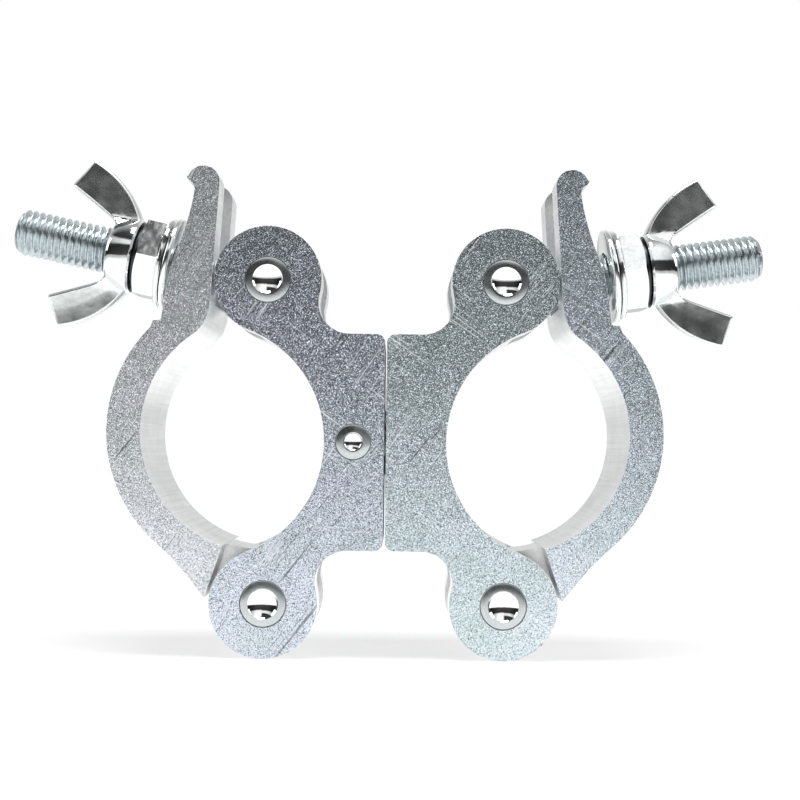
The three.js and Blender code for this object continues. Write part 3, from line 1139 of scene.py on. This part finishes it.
def studio_world():
    """White behind the set.

    Reflections see a dim room in front with a window above it, a paler room behind, and dim sides.
    """
    world = bpy.data.worlds.new("studio")
    world.use_nodes = True
    tree = world.node_tree
    direction = add(tree, "ShaderNodeTexCoord").outputs["Generated"]
    parts = add(tree, "ShaderNodeSeparateXYZ", {"Vector": direction}).outputs
    height = add(tree, "ShaderNodeMapRange", {"Value": parts["Z"], "From Min": -1.0, "From Max": 1.0})
    level = height.outputs["Result"]
    dim_side = ramp(
        tree,
        level,
        (0.50, 0.07),
        (0.74, 0.03),
        (0.78, 0.95),
        (0.84, 0.95),
        (0.87, 0.03),
        (0.97, 0.06),
        (1.0, 0.3),
    )
    window_side = ramp(
        tree, level, (0.50, 0.07), (0.72, 0.04), (0.76, 1.05), (0.96, 1.15), (0.98, 0.4), (1.0, 0.36)
    )
    aside = add(tree, "ShaderNodeMapRange", {"Value": parts["X"], "From Min": -0.02, "From Max": 0.05})
    front_room = blend(tree, aside.outputs["Result"], dim_side, window_side)
    back_room = ramp(tree, level, (0.50, 0.85), (0.62, 0.75), (0.74, 0.95), (0.95, 0.42))
    ahead = add(tree, "ShaderNodeMapRange", {"Value": parts["Y"], "From Min": 0.25, "From Max": -0.15})
    room = blend(tree, ahead.outputs["Result"], back_room, front_room)
    sideways = add(tree, "ShaderNodeMath", {0: parts["X"]}, operation="ABSOLUTE").outputs["Value"]
    falloff = add(
        tree,
        "ShaderNodeMapRange",
        {"Value": sideways, "From Min": 0.5, "From Max": 0.9, "To Min": 1.0, "To Max": 0.3},
    )
    room = blend(tree, 1.0, room, falloff.outputs["Result"], "MULTIPLY")
    seen = add(tree, "ShaderNodeLightPath").outputs["Is Camera Ray"]
    background = tree.nodes["Background"]
    tree.links.new(blend(tree, seen, room, (1.0, 1.0, 1.0)), background.inputs["Color"])
    bpy.context.scene.world = world


SENSOR_WIDTH = 36.0
LENS = 60.3
CAMERA_PLACE = (0.00192, -0.29142, 0.04314)
CAMERA_YAW = -0.0031
CAMERA_PITCH = 0.0371
CAMERA_ROLL = 0.0118


def camera():
    data = bpy.data.cameras.new("camera")
    data.sensor_width = SENSOR_WIDTH
    data.lens = LENS
    data.clip_start = 0.01
    data.clip_end = 50.0
    made = bpy.data.objects.new("camera", data)
    bpy.context.scene.collection.objects.link(made)
    turn = Matrix.Rotation(CAMERA_YAW, 4, "Z") @ Matrix.Rotation(math.pi / 2 + CAMERA_PITCH, 4, "X")
    turn = turn @ Matrix.Rotation(CAMERA_ROLL, 4, "Z")
    made.matrix_world = Matrix.Translation(CAMERA_PLACE) @ turn
    bpy.context.scene.camera = made


floor()
studio_world()
soft_light("top_softbox", (0.0, -0.1, 0.9), (0.5, 0.3), 5.5)
soft_light("left_softbox", (-0.8, -0.1, 0.45), (0.25, 0.4), 0.9)
soft_light("right_softbox", (0.8, -0.1, 0.45), (0.25, 0.4), 0.9)
camera()
bpy.context.scene.view_settings.view_transform = "Standard"

bpy.context.view_layer.update()
